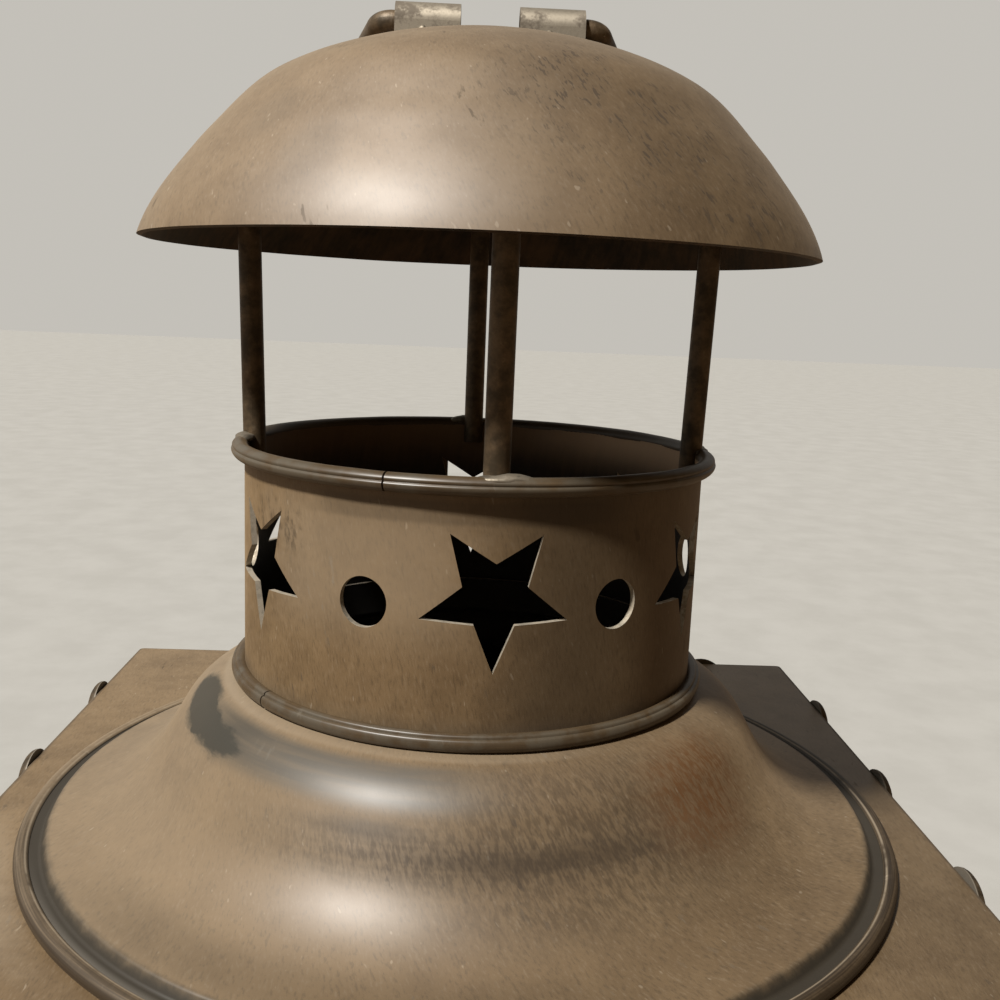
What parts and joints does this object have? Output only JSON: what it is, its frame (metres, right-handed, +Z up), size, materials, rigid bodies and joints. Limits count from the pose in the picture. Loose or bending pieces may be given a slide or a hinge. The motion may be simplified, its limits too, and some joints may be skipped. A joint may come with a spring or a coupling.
{
  "type": "candle lantern",
  "caption": "Square metal candle lantern with a glazed casing, hinged door, bell roof, star-pierced chimney collar, domed cap and folding wire bail.",
  "frame": {"origin": "on the floor under the middle of the lantern, the four feet stand on z = 0", "axes": "+Z up along the chimney axis, -Y to the front where the door is, +X to the right seen from the front"},
  "size_m": [0.1782, 0.1782, 0.3663],
  "materials": {
    "antique_paint": "brown copper-toned paint over sheet steel, satin, with dark patina, brush marks and worn edges",
    "dark_trim": "darker brown-black paint on wire, posts, studs and feet, worn on the high spots",
    "bare_steel": "dull plain steel",
    "aged_brass": "dull aged brass",
    "clear_glass": "clear sheet glass, slightly dusty"
  },
  "bodies": {
    "lantern": {"plinth": "antique_paint", "feet": "dark_trim", "foot_rivets": "dark_trim", "candle_pan": "antique_paint", "candle_socket": "antique_paint", "pan_rivet": "bare_steel", "wall_left": "antique_paint", "wall_right": "antique_paint", "wall_back": "antique_paint", "front_panel": "antique_paint", "corner_strips": "antique_paint", "pane_left": "clear_glass", "pane_right": "clear_glass", "pane_back": "clear_glass", "pane_clips": "bare_steel", "door_catch": "aged_brass", "frame_leaves": "aged_brass", "hinge_pins": "bare_steel", "frame_rivets": "bare_steel", "roof": "antique_paint", "roof_studs": "dark_trim", "bell": "antique_paint", "collar": "antique_paint", "rim_wires": "bare_steel", "posts": "dark_trim", "cap": "antique_paint", "sleeves": "dark_trim"},
    "door": {"door_frame": "antique_paint", "door_pane": "clear_glass", "door_clips": "bare_steel", "door_knob": "aged_brass", "door_leaves": "aged_brass", "door_rivets": "bare_steel"},
    "bail": {"bail": "dark_trim"}
  },
  "joints": [
    {"name": "door_hinge", "type": "hinge", "parent": "lantern", "child": "door", "pos_m": [-0.0654, -0.0794, 0.11645], "axis": [0, 0, -1], "range_deg": [0, 110]},
    {"name": "bail_hinge", "type": "hinge", "parent": "lantern", "child": "bail", "pos_m": [0, 0, 0.363], "axis": [1, 0, 0], "range_deg": [0, 210.8]}
  ]
}
